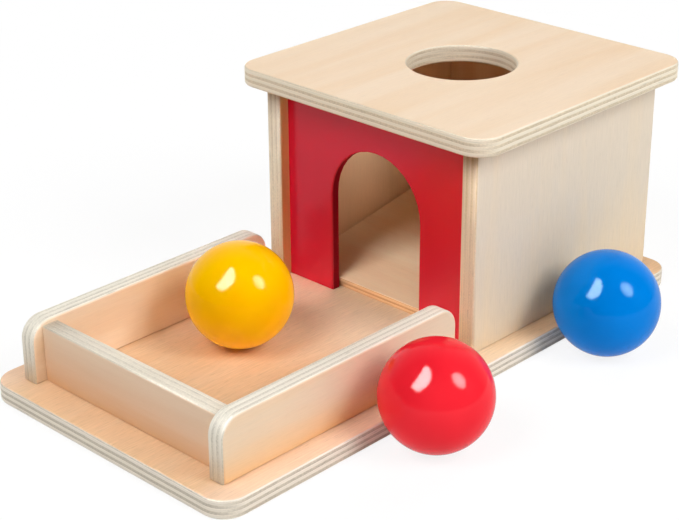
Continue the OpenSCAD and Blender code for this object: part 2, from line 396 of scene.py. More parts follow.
def veneer(t, place, is_back, face, back, fleck, drift, back_drift, pale_side):
    """The two faces of a board: the node of their colour, and that of their fibres.

    Broad streaks of two tints run along the grain, each face with its own drift, partly painted
    light, and pale_side tints a pale strip of painted light. Fine fibres and short pores then shade
    it, as strong as fleck says.
    """
    at_figure = add(t, "Mapping", {"Vector": place, "Scale": per_size(*FIGURE_MM, None)})
    figure = add(t, "TexNoise", {
        "Vector": (at_figure, 0), "Scale": 1.0, "Detail": 3.0, "Distortion": 0.5})
    streak = add(t, "MapRange", {"Value": (figure, 0), **span(FIGURE_SPAN)})
    face_tint, back_tint = (
        add(t, "Mix", {
            0: (drifted(t, streak, side_drift), 0), 6: linear(tints[0]), 7: linear(tints[1])},
            data_type="RGBA")
        for tints, side_drift in ((face, drift), (back, back_drift)))
    # Painted light: the pale strip lifts the shade on the base's margins beside the tray.
    if pale_side:
        face_tint = add(t, "Mix", {
            0: (painted_light_strip(t), 0), 6: (face_tint, 2), 7: linear(pale_side)}, data_type="RGBA")
    tint = add(t, "Mix", {
        0: (is_back, 0), 6: (face_tint, 2), 7: (back_tint, 2)}, data_type="RGBA")

    at_fibre = add(t, "Mapping", {"Vector": place, "Scale": per_size(*FIBRE_MM, None)})
    fibre = add(t, "TexNoise", {
        "Vector": (at_fibre, 0), "Scale": 1.0, "Detail": 3.0, "Roughness": 0.6})
    fibre_shades = (1 - FIBRE_DEPTH * fleck, 1 + FIBRE_DEPTH * fleck)
    fibre_shade = add(t, "MapRange", {"Value": (fibre, 0), **span(FIBRE_SPAN, fibre_shades)})
    at_pore = add(t, "Mapping", {"Vector": place, "Scale": per_size(*PORE_MM, None)})
    pore = add(t, "TexNoise", {"Vector": (at_pore, 0), "Scale": 1.0, "Detail": 1.0})
    pore_shades = (1.0, 1 - PORE_DEPTH * fleck)
    pore_shade = add(t, "MapRange", {"Value": (pore, 0), **span(PORE_SPAN, pore_shades)})
    shade = add(t, "Math", {0: (fibre_shade, 0), 1: (pore_shade, 0)}, operation="MULTIPLY")
    colour = add(t, "VectorMath", {0: (tint, 2), "Scale": (shade, 0)}, operation="SCALE")
    return colour, fibre


print("figure of the faces", FIGURE_MM, "mm, fibres", FIBRE_MM, "mm, pores", PORE_MM, "mm")

# %% Edges of the plywood
# Sizes in mm along the edge and down through the sheets, again coarser than the real fibres.
EDGE_STREAK_MM = (26.0, 0.36)
SPECK_MM = (0.9, 0.5)
DASH_MM = (11.0, 0.8)
# The sheets wander up and down: once in so many mm, by so many mm.
WOBBLE_MM, WOBBLE_RISE_MM = 35.0, 0.25
# Sanding leaves this much of each outer sheet.
OUTER_SHEET = 0.65
EDGE_STREAK_SPAN, EDGE_STREAK_SHADES = (0.3, 0.7), (0.92, 1.08)
SPECK_SPAN, SPECK_SHADES = (0.35, 0.7), (1.08, 0.82)
DASH_SPAN, DASH_SHADES = (0.66, 0.76), (1.0, 0.72)
GLUE_SPAN, GLUE_SHADES = (0.12, 0.3), (1.12, 1.0)
# Heights on a wall between which its edge turns towards a pale tint at the foot: painted light,
# standing in for light bounced up from the base.
FOOT_MM, HEAD_MM = 30.0, 82.0
PAINTED_FOOT_TINT = "#FFF1D6"


def sawn_edge(t, place, depth, edge, thickness_mm, sheets, painted_foot_light):
    """The sawn edge of a board: the node of its colour, and that of its fine lines.

    The sheet number is the depth over one sheet's thickness, with the outer sheets sanded thinner,
    and odd sheets have their grain turned: they are cut across where the even ones are not. A pale
    tint comes in from the head of a wall down to its foot, as strong as the last argument says:
    this is painted light, standing in for light bounced up from the base.
    """
    end = add(t, "Attribute", attribute_name="end_grain")
    at_wobble = add(t, "Mapping", {
        "Vector": place, "Scale": per_size(WOBBLE_MM, WOBBLE_MM, None)})
    wobble = add(t, "TexNoise", {"Vector": (at_wobble, 0), "Scale": 1.0, "Detail": 1.0})
    rise = WOBBLE_RISE_MM * MM
    lift = add(t, "MapRange", {"Value": (wobble, 0), **span(shown=(-rise, rise))})
    lifted = add(t, "Math", {0: depth, 1: (lift, 0)}, operation="ADD")
    outer = OUTER_SHEET / sheets
    inner = (1 - 2 * outer) / (sheets - 2)
    second_sheet = (outer * thickness_mm * MM, (outer + inner) * thickness_mm * MM)
    count = add(
        t, "MapRange", {"Value": (lifted, 0), **span(second_sheet, (1.0, 2.0))}, clamp=False)
    number = add(t, "Math", {0: (count, 0)}, operation="FLOOR")
    odd = add(t, "Math", {0: (number, 0), 1: 2.0}, operation="FLOORED_MODULO")
    turned = add(t, "Math", {0: (odd, 0), 1: (end, "Fac")}, operation="SUBTRACT")
    cut_across = add(t, "Math", {0: (turned, 0)}, operation="ABSOLUTE")
    sheet_tint = add(t, "Mix", {
        0: (cut_across, 0), 6: linear(edge[0]), 7: linear(edge[1])}, data_type="RGBA")
    spot = add(t, "TexCoord")
    spot_axes = add(t, "SeparateXYZ", {0: (spot, "Object")})
    # Painted light: the edge turns paler towards a wall's foot, standing in for light bounced up
    # from the base.
    painted_foot_share = add(t, "MapRange", {
        "Value": (spot_axes, 2), **span((FOOT_MM * MM, HEAD_MM * MM), (painted_foot_light, 0.0))})
    tint = add(t, "Mix", {
        0: (painted_foot_share, 0), 6: (sheet_tint, 2), 7: linear(PAINTED_FOOT_TINT)}, data_type="RGBA")

    streak_scale, speck_scale, dash_scale = (
        per_size(along, along, down) for along, down in (EDGE_STREAK_MM, SPECK_MM, DASH_MM))
    at_streak = add(t, "Mapping", {"Vector": place, "Scale": streak_scale})
    streak = add(t, "TexNoise", {
        "Vector": (at_streak, 0), "Scale": 1.0, "Detail": 3.0, "Roughness": 0.6})
    streak_shade = add(t, "MapRange", {
        "Value": (streak, 0), **span(EDGE_STREAK_SPAN, EDGE_STREAK_SHADES)})
    at_speck = add(t, "Mapping", {"Vector": place, "Scale": speck_scale})
    speck = add(t, "TexNoise", {"Vector": (at_speck, 0), "Scale": 1.0, "Detail": 1.0})
    speck_shade = add(t, "MapRange", {"Value": (speck, 0), **span(SPECK_SPAN, SPECK_SHADES)})
    cut_shade = add(
        t, "Mix", {0: (cut_across, 0), 2: 1.0, 3: (speck_shade, 0)}, data_type="FLOAT")
    at_dash = add(t, "Mapping", {"Vector": place, "Scale": dash_scale})
    dash = add(t, "TexNoise", {"Vector": (at_dash, 0), "Scale": 1.0, "Detail": 2.0})
    dash_shade = add(t, "MapRange", {"Value": (dash, 0), **span(DASH_SPAN, DASH_SHADES)})
    in_sheet = add(t, "Math", {0: (count, 0)}, operation="FRACT")
    glue_shade = add(t, "MapRange", {"Value": (in_sheet, 0), **span(GLUE_SPAN, GLUE_SHADES)})
    lined = add(t, "Math", {0: (streak_shade, 0), 1: (glue_shade, 0)}, operation="MULTIPLY")
    dashed = add(t, "Math", {0: (cut_shade, 0), 1: (dash_shade, 0)}, operation="MULTIPLY")
    shade = add(t, "Math", {0: (lined, 0), 1: (dashed, 0)}, operation="MULTIPLY")
    colour = add(t, "VectorMath", {0: (tint, 2), "Scale": (shade, 0)}, operation="SCALE")
    return colour, streak


print("outer sheets", OUTER_SHEET, "of a sheet, specks of the cut fibres", SPECK_MM, "mm")

# %% The whole plywood
BOARD_MM = 9.0
BOARD_SHEETS = 7
SKIN_MM = 0.25
WOOD_IOR = 1.5
PLY_SHINE = 0.35
PLY_ROUGHNESS = (0.46, 0.62)
PLY_RELIEF_MM, PLY_RELIEF = 0.06, 0.25


def birch_plywood(name, face, back, edge, fleck, thickness_mm=BOARD_MM, sheets=BOARD_SHEETS,
                  drift=None, back_drift=None, painted_foot_light=0.0, pale_side=None):
    """Birch plywood, sawn, sanded and matt lacquered: pale, dull and striped at its edges.

    Face, back and edge are two tints each. Depth within SKIN_MM of either face counts as face, and
    all between as edge. Fibres and edge lines also give a faint relief and uneven gloss.
    """
    material, t, out = new_material(name)
    sheet_place = add(t, "Attribute", attribute_name="ply")
    place = (sheet_place, "Vector")
    axes = add(t, "SeparateXYZ", {0: place})
    half = thickness_mm * MM / 2
    is_back = add(t, "Math", {0: (axes, 2), 1: half}, operation="GREATER_THAN")
    face_colour, fibre = veneer(
        t, place, is_back, face, back, fleck, drift, back_drift, pale_side)
    edge_colour, edge_line = sawn_edge(
        t, place, (axes, 2), edge, thickness_mm, sheets, painted_foot_light)
    from_middle = add(t, "Math", {0: (axes, 2), 1: half}, operation="SUBTRACT")
    distance = add(t, "Math", {0: (from_middle, 0)}, operation="ABSOLUTE")
    is_face = add(t, "Math", {
        0: (distance, 0), 1: (thickness_mm / 2 - SKIN_MM) * MM}, operation="GREATER_THAN")
    colour = add(t, "Mix", {
        0: (is_face, 0), 6: (edge_colour, 0), 7: (face_colour, 0)}, data_type="RGBA")
    relief = add(t, "Mix", {
        0: (is_face, 0), 2: (edge_line, 0), 3: (fibre, 0)}, data_type="FLOAT")
    bump = add(t, "Bump", {
        "Height": (relief, 0), "Strength": PLY_RELIEF, "Distance": PLY_RELIEF_MM * MM})
    gloss = add(t, "MapRange", {"Value": (relief, 0), **span(shown=PLY_ROUGHNESS)})
    surface = add(t, "BsdfPrincipled", {
        "Base Color": (colour, 2), "Roughness": (gloss, 0), "Normal": (bump, 0),
        "IOR": WOOD_IOR, "Specular IOR Level": PLY_SHINE})
    t.links.new(surface.outputs[0], out.inputs["Surface"])
    return material


print("boards of", BOARD_SHEETS, "sheets in", BOARD_MM, "mm")

# %% [markdown]
# ## One plywood for each kind of board
# No two sheets of birch have the same colour: sapwood is nearly white, heartwood goes from peach to
# brown, and a board sawn across both changes tint from end to end. One material with random tints
# could serve all boards, but on the real toy each board has its own tone, so each kind of board
# gets its own two tints for its face, its back and its edge. Part of these tints and their drifts
# is
# painted light: warmer feet stand for light bounced off the base, paler parts lift shade, and
# darker copies paint shade inside the house.

# %% Plywood of each board
RAMP_MM = 5.0
RAMP_SHEETS = 5
cream_edge = ("#DED4C1", "#CABA9F")
brown_edge = ("#E0D5C1", "#BFAA8C")
honey_edge = ("#D2BC9C", "#B2926A")
base_edge = ("#E4DBCD", "#C0B5A3")
rail_edge = ("#E1DBCD", "#CFC8B8")
grey_edge = ("#DAD2C2", "#C8BFAD")
toe_edge = ("#FFDCAC", "#B87C4A")
peach = ("#E0CAB0", "#DCC09F")
beige = ("#D5C7B4", "#E1CAA8")
tan = ("#DEC6A6", "#D8B189")
oatmeal = ("#DCC1A6", "#CFA177")
# Lit and shaded copies of one amber: the lighter one on the ramp and the pale half of honey are
# painted light inside the house, and the darker one on the rear wall is painted shade.
amber = ("#FBDBB1", "#EFC597")
lit_amber = ("#FFE4BE", "#F8D0A4")
honey = ("#F9D6AB", "#CDA66C")
shaded_amber = ("#DBBA91", "#D0A77B")
cream = ("#E0CBB0", "#E8BC86")
warm_cream = ("#F0D8BC", "#E9C8A4")
# Painted light in part: up_the_wall makes a wall's face warmer towards its foot, as light bounced
# up from the base would, besides a change of tone.
up_the_wall = (2, 10, 65)

lid_ply = birch_plywood("birch_plywood_lid", peach, peach, cream_edge, 0.5)
# The left wall's inner face is darker between its front and the panel: painted shade in that
# recess. Its edge turns pale at the foot as painted bounced light.
left_ply = birch_plywood(
    "birch_plywood_left_wall", beige, honey, brown_edge, 0.35,
    drift=up_the_wall, back_drift=(1, 15, 24), painted_foot_light=1.0)
right_ply = birch_plywood(
    "birch_plywood_right_wall", beige, amber, honey_edge, 0.6, drift=up_the_wall, painted_foot_light=0.85)
rear_ply = birch_plywood(
    "birch_plywood_rear_wall", beige, shaded_amber, brown_edge, 0.35, drift=up_the_wall)
# The base's drift makes it paler near the middle and warmer towards both ends: partly tone, partly
# painted light that lifts the shade on the tray.
base_ply = birch_plywood(
    "birch_plywood_base", tan, tan, base_edge, 1.4, drift=(1, 60, 5), pale_side="#E6C4A6")
# The rails' drifts make them warmer towards their foot: partly tone, partly painted light bounced
# off the base.
rail_ply = birch_plywood(
    "birch_plywood_side_rails", cream, warm_cream, rail_edge, 0.4, drift=(2, 9, 32))
front_ply = birch_plywood(
    "birch_plywood_front_rail", oatmeal, tan, grey_edge, 0.2, drift=(2, 8, 32))
ramp_ply = birch_plywood(
    "birch_plywood_ramp", lit_amber, amber, toe_edge, 0.4, RAMP_MM, RAMP_SHEETS)
plies = (lid_ply, left_ply, right_ply, rear_ply, base_ply, rail_ply, front_ply, ramp_ply)
print("plywood materials:", [ply.name for ply in plies])

# %% [markdown]
# ## Making a board
# Each board is a flat shape sawn from the sheet, with every sharp edge eased by a router. A cube
# with a Bevel modifier could do this, but the seams where boards are glued should stay almost sharp
# while the free edges are round. So a board is worked out as a grid: the outline runs one way, and
# a rounded profile the other, from one face over the eased edge, down the side and round to the
# other face. Each side of the outline has its own easing.

# %% Outline and easing
ARRIS = 1.2 * MM
SEAM = 0.55 * MM
HOLD = 0.5 * MM
ARC_STEPS = 10
EASE_STEPS = 6
SAME_POINT = 1e-7
NEARLY_STRAIGHT = 1e-3


def outline(corners, radii, side_steps=0):
    """The outline of a board through its corners, each turned on its own radius.

    At a right-angled corner p, between directions d1 in and d2 out, the arc's centre is
    p - r d1 + r d2 and its points are centre + r sin(a) d1 - r cos(a) d2, for a from 0 to 90
    degrees. Straight sides get side_steps points more. Returns the points and, for each, the number
    of the side that starts there. Points that coincide are kept once.
    """
    corners = np.asarray(corners, float)
    radius = np.asarray(radii, float)[:, None, None]
    into = corners - np.roll(corners, 1, axis=0)
    into = (into / np.linalg.norm(into, axis=1, keepdims=True))[:, None]
    leaving = np.roll(into, -1, axis=0)
    a = np.linspace(0, np.pi / 2, ARC_STEPS)[None, :, None]
    centres = corners[:, None] + radius * (leaving - into)
    arcs = centres + radius * (np.sin(a) * into - np.cos(a) * leaving)
    s = np.linspace(0, 1, side_steps + 2)[None, 1:-1, None]
    starts = arcs[:, -1:]
    sides = starts + s * (np.roll(arcs[:, :1], -1, axis=0) - starts)
    points = np.concatenate((arcs, sides), axis=1)
    side = np.repeat(np.arange(len(corners)), points.shape[1])
    points = points.reshape(-1, 2)
    apart = np.linalg.norm(points - np.roll(points, 1, axis=0), axis=1) > SAME_POINT
    return points[apart], side[apart]


def inward(points, distance):
    """The move q of every point that shifts each edge inwards by its own distance.

    With n1 and n2 the inward normals of the edges before and after a point, q solves q.n1 = d1 and
    q.n2 = d2, so it is the sum of (d1 + d2) / 2 * (n1 + n2) / (1 + n1.n2) and
    (d1 - d2) / 2 * (n1 - n2) / (1 - n1.n2).
    """
    edge = np.roll(points, -1, axis=0) - points
    edge = edge / np.linalg.norm(edge, axis=1, keepdims=True)
    after = np.stack((-edge[:, 1], edge[:, 0]), axis=1)
    before = np.roll(after, 1, axis=0)
    d2 = np.broadcast_to(distance, len(points)).astype(float)
    d1 = np.roll(d2, 1)
    cosine = (after * before).sum(axis=1)
    even = (d1 + d2) / 2 / (1 + cosine)
    odd = (d1 - d2) / 2 / np.maximum(1 - cosine, NEARLY_STRAIGHT)
    return even[:, None] * (before + after) + odd[:, None] * (before - after)


def eased_rings(points, easing, thickness, arris=ARRIS):
    """Rings of (x, y, depth) from the outer face to the inner one.

    The easing is a quarter turn: at angle a the ring lies (1 - sin a) of the easing inwards and
    (1 - cos a) of the arris down. One ring more on each face, HOLD further in, keeps the face's
    shading flat.
    """
    a = np.linspace(0, np.pi / 2, EASE_STEPS)
    share = np.concatenate(((1.0,), 1 - np.sin(a), 1 - np.sin(a[::-1]), (1.0,)))[:, None, None]
    down = np.concatenate(((0.0,), 1 - np.cos(a))) * arris
    depth = np.concatenate((down, thickness - down[::-1]))
    hold = np.zeros(share.shape)
    hold[[0, -1]] = HOLD
    flat = points + share * inward(points, easing) + hold * inward(points, 1.0)
    deep = np.broadcast_to(depth[:, None, None], flat.shape[:2] + (1,))
    return np.concatenate((flat, deep), axis=2)


print("eased edges", ARRIS / MM, "mm, glued seams", SEAM / MM, "mm")

# %% Pieces and their grain
# How far apart on the sheet two boards are cut, in metres along the grain, across it and down.
SHEET_STEP = np.array((0.731, 0.377, 0.0))


def grid_faces(rows, columns, close_rows=False):
    """Quads of a grid closed round its columns, and round its rows too for a ring-shaped one."""
    index = np.arange(rows * columns).reshape(rows, columns)
    if close_rows:
        index = np.vstack((index, index[:1]))
    a, b = index[:-1], index[1:]
    quads = np.stack((a, b, np.roll(b, -1, axis=1), np.roll(a, -1, axis=1)), axis=-1)
    return quads.reshape(-1, 4)


def new_piece(name, points, faces, material, body, slot, *nodes):
    """A mesh piece at the origin, smooth shaded, riding on a body in place of its CAD nodes."""
    mesh = bpy.data.meshes.new(name)
    mesh.from_pydata(points.tolist(), [], faces)
    mesh.polygons.foreach_set("use_smooth", np.ones(len(mesh.polygons), bool))
    mesh.materials.append(material)
    piece = bpy.data.objects.new(name, mesh)
    bpy.context.collection.objects.link(piece)
    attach(piece, body)
    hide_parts(*nodes)
    return piece


def lay_grain(piece, origin, grain, normal, seed):
    """Stores where each vertex lies in its sheet: along the grain, across it and down, in metres.

    The seed shifts the pattern, so that no two boards are cut from the same place. A second
    attribute tells how far the surface faces along the grain: 1 where the fibres are cut across.
    """
    mesh = piece.data
    points = np.empty(len(mesh.vertices) * 3)
    normals = np.empty(len(mesh.vertices) * 3)
    mesh.vertices.foreach_get("co", points)
    mesh.vertices.foreach_get("normal", normals)
    local = points.reshape(-1, 3) - origin
    axes = np.stack((grain, np.cross(normal, grain), -np.asarray(normal)), axis=1)
    place = local @ axes + SHEET_STEP * seed
    for old in [mesh.attributes[n] for n in ("ply", "end_grain") if n in mesh.attributes]:
        mesh.attributes.remove(old)
    mesh.attributes.new("ply", "FLOAT_VECTOR", "POINT").data.foreach_set("vector", place.ravel())
    facing = np.abs(normals.reshape(-1, 3) @ np.asarray(grain, float))
    mesh.attributes.new("end_grain", "FLOAT", "POINT").data.foreach_set("value", facing)


def node_box(node):
    """The low and the high corner of a CAD node's box."""
    return tuple(np.array(corner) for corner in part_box(node))


print("sheet step", SHEET_STEP, "m")

# %% Boards
X, Y, Z = np.eye(3)


def rings_to_board(node, rings, origin, axes, grain, material, seed, slot="plywood"):
    """A board of rings of (x, y, depth) at origin + x u + y v - depth n, its faces closed."""
    u, v, n = axes
    rows, columns = rings.shape[:2]
    points = (origin + rings @ np.stack((u, v, -n))).reshape(-1, 3)
    first = np.arange(columns)
    last = first[::-1] + (rows - 1) * columns
    faces = grid_faces(rows, columns).tolist() + [first.tolist(), last.tolist()]
    piece = new_piece(node + "_eased", points, faces, material, "box", slot, node)
    lay_grain(piece, origin, grain, n, seed)
    return piece


def board(node, u, v, radii, easing, grain, material, seed):
    """A rectangular board filling a CAD node's box: outer face along u and v, normal u x v."""
    lo, hi = node_box(node)
    n = np.cross(u, v)
    half = (hi - lo) / 2
    half_u, half_v, half_n = (abs(half @ axis) for axis in (u, v, n))
    origin = (lo + hi) / 2 + n * half_n
    points, side = outline(UNIT_SQUARE * (half_u, half_v), np.array(radii) * MM)
    rings = eased_rings(points, np.array(easing)[side], 2 * half_n)
    return rings_to_board(node, rings, origin, (u, v, n), grain, material, seed)


print("board axes:", X, Y, Z)

# %% [markdown]
# ## Base, rails and walls
# The base is one long board with round corners and its grain running lengthwise. The side rails
# have their upper corners rounded for small hands, and the front rail is let in between them. The
# walls stand upright with upright grain. A box with a few loop cuts could stand for each, but the
# board tool above already knows which of its edges touch another board and keep a sharp seam, and
# which are free and eased.

# %% Base, rails and walls
BASE_CORNER = 12.0
RAIL_CORNER = 10.0
free = (ARRIS, ARRIS, ARRIS, ARRIS)
standing = (SEAM, ARRIS, ARRIS, ARRIS)
between_side = (SEAM, SEAM, ARRIS, SEAM)
under_lid = (SEAM, ARRIS, SEAM, ARRIS)
boxed_in = (SEAM, SEAM, SEAM, SEAM)
square = (0, 0, 0, 0)
rail_top = (0, 0, RAIL_CORNER, RAIL_CORNER)

base = board("base_board", X, Y, (BASE_CORNER,) * 4, free, Y, base_ply, 1)
left_rail = board("tray_rail_left", -Y, Z, rail_top, standing, Y, rail_ply, 2)
right_rail = board("tray_rail_right", Y, Z, rail_top, standing, Y, rail_ply, 3)
front_rail = board("tray_rail_front", X, Z, square, between_side, X, front_ply, 4)
left_wall = board("house_wall_left", -Y, Z, square, under_lid, Z, left_ply, 5)
right_wall = board("house_wall_right", Y, Z, square, under_lid, Z, right_ply, 6)
rear_wall = board("house_wall_rear", -X, Z, square, boxed_in, Z, rear_ply, 7)
cleat = board("ramp_cleat", X, Z, square, boxed_in, X, front_ply, 8)
boards = (base, left_rail, right_rail, front_rail, left_wall, right_wall, rear_wall, cleat)
print("boards:", [piece.name for piece in boards])

# %% [markdown]
# ## Ramp
# The ramp is a thinner board that starts just behind the doorway and climbs to the back, so that
# the ball rolls out by itself. It could be made flat and turned as an object, but a finished piece
# stays unturned here, so its own axes are turned by the slope about the X axis. Its length follows
# from the CAD node's box: the depth of a turned board is length * cos(slope) + thickness *
# sin(slope). Its edges are only just broken, because its toe shows as a crisp step in the doorway.

# %% Ramp
RAMP_SLOPE = math.radians(10.0)
RAMP_EASE = 0.2 * MM
SIDE_GAP = 1.0 * MM
ramp_low, ramp_high = node_box("ramp_board")
ramp_span = ramp_high - ramp_low
ramp_thickness = RAMP_MM * MM
ramp_length = (ramp_span[1] - ramp_thickness * math.sin(RAMP_SLOPE)) / math.cos(RAMP_SLOPE)
along_ramp = np.array((0.0, math.cos(RAMP_SLOPE), math.sin(RAMP_SLOPE)))
ramp_normal = np.cross(X, along_ramp)
ramp_origin = (ramp_low + ramp_high) / 2 + ramp_normal * ramp_thickness / 2
ramp_half = np.array((ramp_span[0], ramp_length)) / 2 - (SIDE_GAP, 0)
ramp_points, _ = outline(UNIT_SQUARE * ramp_half, square)
ramp_rings = eased_rings(ramp_points, RAMP_EASE, ramp_thickness, RAMP_EASE)
ramp = rings_to_board(
    "ramp_board", ramp_rings, ramp_origin, (X, along_ramp, ramp_normal), X, ramp_ply, 9)
print(ramp.name, round(ramp_length / MM, 1), "mm long")

# %% [markdown]
# ## Lid
# The lid is a square board with one round hole, a little wider than a ball. A Boolean could cut the
# hole, but it leaves long thin triangles round the rim that spoil the shading. Here the board
# closes on itself like a ring: the rings run over the outer edge, across the underside, up through
# the hole and back over the top. Each hole point lies in the direction of its outline point, so
# that no face is twisted.

# %% Lid with its drop hole
LID_CORNER = 12.0
LID_SIDE_STEPS = 26
drop_hole = frame["record"]["mounts"][1]
hole_radius = drop_hole["dims"]["r_mm"] * MM
hole_place = np.array(drop_hole["pos_m"])
lid_low, lid_high = node_box("lid_board")
lid_origin = np.array((*((lid_low + lid_high) / 2)[:2], lid_high[2]))
lid_half = (lid_high - lid_low)[:2] / 2
lid_points, _ = outline(UNIT_SQUARE * lid_half, (LID_CORNER * MM,) * 4, LID_SIDE_STEPS)
outer_rings = eased_rings(lid_points, ARRIS, lid_high[2] - lid_low[2])

# The hole is eased as the outer edge is: its radius grows by each ring's own move, read off in x.
hole_centre = (hole_place - lid_origin)[:2]
spoke = lid_points - hole_centre
spoke = spoke / np.linalg.norm(spoke, axis=1, keepdims=True)
moved_in = np.abs(outer_rings[:, 0, 0] - lid_points[0, 0])
hole_easing = (ARRIS + HOLD) * (moved_in / moved_in.max())
hole_flat = hole_centre + (hole_radius + hole_easing)[:, None, None] * spoke
hole_rings = np.concatenate((hole_flat, outer_rings[..., 2:]), axis=2)
lid_rings = np.concatenate((outer_rings, hole_rings[::-1]))
lid_grid = (lid_origin + lid_rings * (1, 1, -1)).reshape(-1, 3)
lid_faces = grid_faces(*lid_rings.shape[:2], close_rows=True).tolist()
lid = new_piece("lid_board_eased", lid_grid, lid_faces, lid_ply, "box", "plywood", "lid_board")
lay_grain(lid, lid_origin, Y, Z, 10)
print("lid hole", round(2 * hole_radius / MM, 1), "mm wide")

# %% [markdown]
# ## Doorway panel
# The front of the house is a thin board sprayed with red lacquer, set back between the walls, with
# an arched doorway sawn out of it. Its outline is one closed line that runs in at the foot, round
# the arch and out again, so the same rounded profile eases the arch. The lacquer is satin: it shows
# the white table softly, with the faint dimples that sprayed paint dries to and a hint of the grain
# under it. One material could do for all of it, but the sawn edge drinks the lacquer and keeps next
# to no shine, so it gets a second one with its own gloss level.

# %% Red lacquer
PANEL_MM = 5.0
CLOUD_MM = 60.0
# Dimples of real lacquer and pores under it are finer: they are drawn this coarse to show.
PEEL_MM = 1.6
LACQUER_GRAIN_MM = (1.2, 40.0)
LACQUER_RELIEF_MM, LACQUER_RELIEF = 0.05, 0.12
# Depths in mm below either face at which the edge is fully soaked and darkened, and not at all. The
# darkening is painted shade, for the shade in the doorway's jamb.
SOAK_AND_SHADE_MM = (1.1, 0.4)
PAINTED_EDGE_SHADE = 0.46
SAWN_ROUGHNESS = 0.85
SATIN_ROUGHNESS = (0.22, 0.3)
FACE_SHINE, SAWN_SHINE = 0.33, 0.04
CLOUD_SPAN = (0.3, 0.7)


def red_lacquer(name, shine):
    """Sprayed satin lacquer on plywood: one strong red with cloudy depth and faint upright grain.

    Towards the sawn edge it turns from full to dark and rough: the roughness is the lacquer soaking
    in, the darkening is painted shade for the doorway's jamb. The shine is the gloss level: that of
    the sprayed face, or next to none for the thirsty edge.
    """
    material, t, out = new_material(name)
    place = add(t, "TexCoord")
    cloud = add(t, "TexNoise", {
        "Vector": (place, "Object"), "Scale": 1 / (CLOUD_MM * MM), "Detail": 2.0})
    cloudy = add(t, "MapRange", {"Value": (cloud, 0), **span(CLOUD_SPAN)})
    tint = add(t, "Mix", {
        0: (cloudy, 0), 6: linear("#D10B30"), 7: linear("#C80829")}, data_type="RGBA")
    sheet = add(t, "Attribute", attribute_name="ply")
    axes = add(t, "SeparateXYZ", {0: (sheet, "Vector")})
    from_middle = add(t, "Math", {0: (axes, 2), 1: PANEL_MM * MM / 2}, operation="SUBTRACT")
    distance = add(t, "Math", {0: (from_middle, 0)}, operation="ABSOLUTE")
    soak_and_shade_ends = tuple((PANEL_MM / 2 - depth) * MM for depth in SOAK_AND_SHADE_MM)
    face_share = add(t, "MapRange", {"Value": (distance, 0), **span(soak_and_shade_ends)})
    # Painted shade: the sawn edge is darkened to stand for the shade in the doorway's jamb.
    dark_edge = add(t, "MapRange", {"Value": (face_share, 0), **span(shown=(PAINTED_EDGE_SHADE, 1.0))})
    colour = add(t, "VectorMath", {0: (tint, 2), "Scale": (dark_edge, 0)}, operation="SCALE")
    peel = add(t, "TexNoise", {
        "Vector": (place, "Object"), "Scale": 1 / (PEEL_MM * MM), "Detail": 1.0})
    across, along = LACQUER_GRAIN_MM
    at_grain = add(t, "Mapping", {
        "Vector": (place, "Object"), "Scale": per_size(across, across, along)})
    grain = add(t, "TexNoise", {"Vector": (at_grain, 0), "Scale": 1.0, "Detail": 2.0})
    relief = add(t, "Math", {0: (peel, 0), 1: (grain, 0)}, operation="ADD")
    bump = add(t, "Bump", {
        "Height": (relief, 0), "Strength": LACQUER_RELIEF, "Distance": LACQUER_RELIEF_MM * MM})
    satin = add(t, "MapRange", {"Value": (cloud, 0), **span(shown=SATIN_ROUGHNESS)})
    gloss = add(
        t, "Mix", {0: (face_share, 0), 2: SAWN_ROUGHNESS, 3: (satin, 0)}, data_type="FLOAT")
    surface = add(t, "BsdfPrincipled", {
        "Base Color": (colour, 0), "Roughness": (gloss, 0), "Normal": (bump, 0),
        "IOR": WOOD_IOR, "Specular IOR Level": shine})
    t.links.new(surface.outputs[0], out.inputs["Surface"])
    return material


panel_paint = red_lacquer("red_satin_lacquer", FACE_SHINE)
edge_paint = red_lacquer("red_lacquer_soaked_edge", SAWN_SHINE)
print("lacquers:", panel_paint.name, edge_paint.name)

# %% Doorway panel
ARCH_WIDTH = 56.0 * MM
ARCH_TOP = 88.0 * MM
DOOR_EASE = 0.7 * MM
panel_low, panel_high = node_box("arch_panel")
left, right_side = panel_low[0], panel_high[0]
foot, head = panel_low[2], panel_high[2]
half_door = ARCH_WIDTH / 2
panel_corners = (
    (left, foot), (-half_door, foot), (-half_door, ARCH_TOP), (half_door, ARCH_TOP),
    (half_door, foot), (right_side, foot), (right_side, head), (left, head))
panel_radii = (0, 0, half_door, half_door, 0, 0, 0, 0)
panel_points, panel_side = outline(panel_corners, panel_radii)
side_easing = np.array((SEAM, DOOR_EASE, DOOR_EASE, DOOR_EASE, SEAM, SEAM, SEAM, SEAM))
panel_rings = eased_rings(
    panel_points, side_easing[panel_side], panel_high[1] - panel_low[1], DOOR_EASE)
panel_origin = np.array((0.0, panel_low[1], 0.0))
panel = rings_to_board(
    "arch_panel", panel_rings, panel_origin, (X, Z, -Y), Z, panel_paint, 11, slot="red_lacquer")

panel.data.materials.append(edge_paint)
face_middles = np.empty(len(panel.data.polygons) * 3)
panel.data.polygons.foreach_get("center", face_middles)
depth_in = face_middles.reshape(-1, 3)[:, 1]
sawn = (depth_in > panel_low[1] + DOOR_EASE) & (depth_in < panel_high[1] - DOOR_EASE)
panel.data.polygons.foreach_set("material_index", sawn.astype(np.int32))
print("doorway", round(ARCH_WIDTH / MM), "mm wide,", round((ARCH_TOP - foot) / MM), "mm high,",
      sawn.sum(), "sawn faces")

# %% [markdown]
# ## Balls
# The balls are turned from wood, dipped in gloss paint and dried on pins, so the paint is thick,
# smooth and very slightly uneven. Blender's own sphere is perfectly round; here the radius is a
# function of the two angles, with waves of a few hundredths of a millimetre that bend the
# highlights as wet paint does.

# %% Gloss paint
FLOW_MM = 22.0
FLOW_SPAN = (0.3, 0.7)
